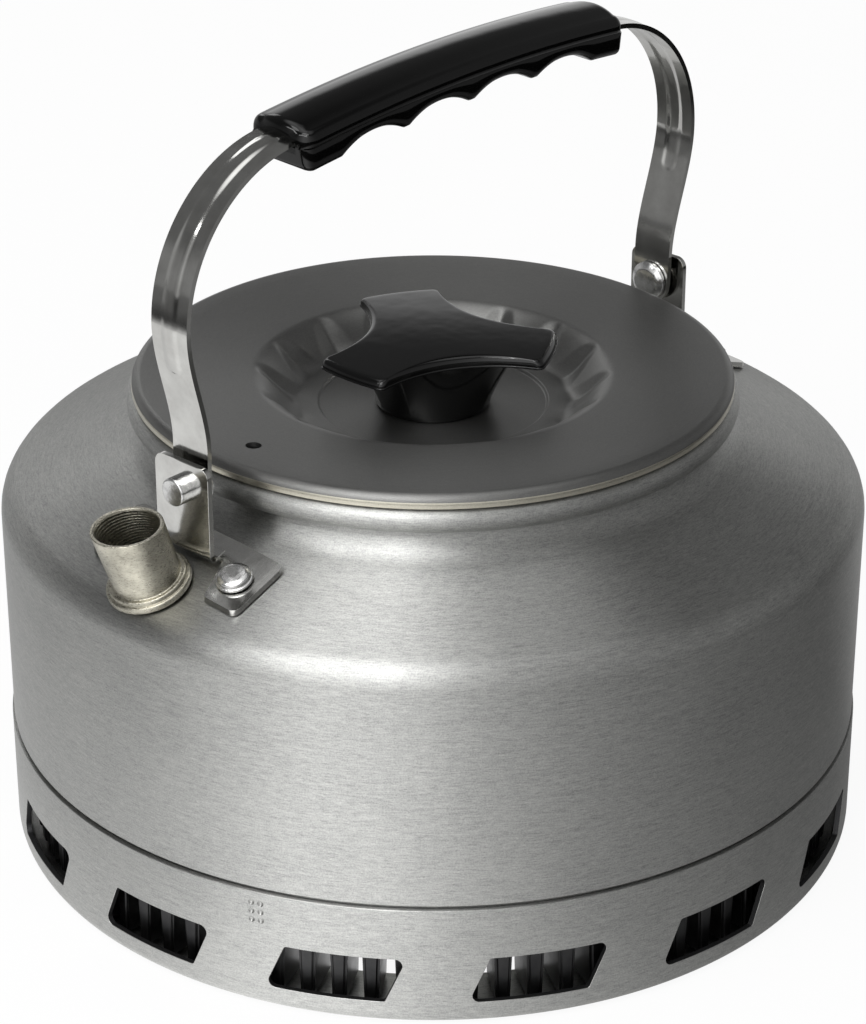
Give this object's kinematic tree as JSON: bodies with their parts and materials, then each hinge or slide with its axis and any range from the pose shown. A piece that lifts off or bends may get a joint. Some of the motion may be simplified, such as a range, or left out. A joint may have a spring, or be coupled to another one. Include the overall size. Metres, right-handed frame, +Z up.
{
  "type": "camping kettle",
  "caption": "Squat camping kettle with a finned heat-exchanger base, short side spout, lift-off lid with a three-armed knob, and a folding bail handle.",
  "frame": {"origin": "on the ground plane, at the kettle's own axis, in the middle of its base", "axes": "+Z up; the spout points to -X and the bail's hinge line runs along X"},
  "size_m": [0.1938, 0.1908, 0.1789],
  "materials": {
    "body_aluminium": "satin hard-anodised, finely brushed around",
    "lid_aluminium": "matte hard-anodised",
    "fin_aluminium": "dark, heat-stained",
    "spout_metal": "turned, warm grey",
    "stainless": "polished stainless steel",
    "rivet_metal": "bright",
    "black_plastic": "glossy black, moulded"
  },
  "bodies": {
    "kettle": {"vessel": "body_aluminium", "heat_exchanger_skirt": "body_aluminium", "heat_exchanger_fins": "fin_aluminium", "spout": "spout_metal", "spout_side_bracket": "stainless", "rear_bracket": "stainless", "foot_rivet_1": "rivet_metal", "foot_rivet_2": "rivet_metal", "foot_rivet_3": "rivet_metal", "foot_rivet_4": "rivet_metal", "foot_rivet_washer_1": "rivet_metal", "foot_rivet_washer_2": "rivet_metal", "foot_rivet_washer_3": "rivet_metal", "foot_rivet_washer_4": "rivet_metal", "pivot_rivet_spout_side": "rivet_metal", "pivot_rivet_rear": "rivet_metal", "pivot_washer_spout_side": "stainless", "pivot_washer_rear": "stainless"},
    "bail": {"bail_strap": "stainless", "grip_upper": "black_plastic", "grip_lower": "black_plastic"},
    "lid": {"lid": "lid_aluminium", "lid_collar": "lid_aluminium", "knob": "black_plastic", "knob_screw": "stainless", "knob_washer": "stainless"}
  },
  "joints": [
    {"name": "bail_swing", "type": "hinge", "parent": "kettle", "child": "bail", "pos_m": [0, -0.0016, 0.10477], "axis": [1, 0, 0], "range_deg": [-80, 86]},
    {"name": "lid_lift", "type": "slide", "parent": "kettle", "child": "lid", "axis": [0, 0, 1], "range_m": [0, 0.048]}
  ]
}
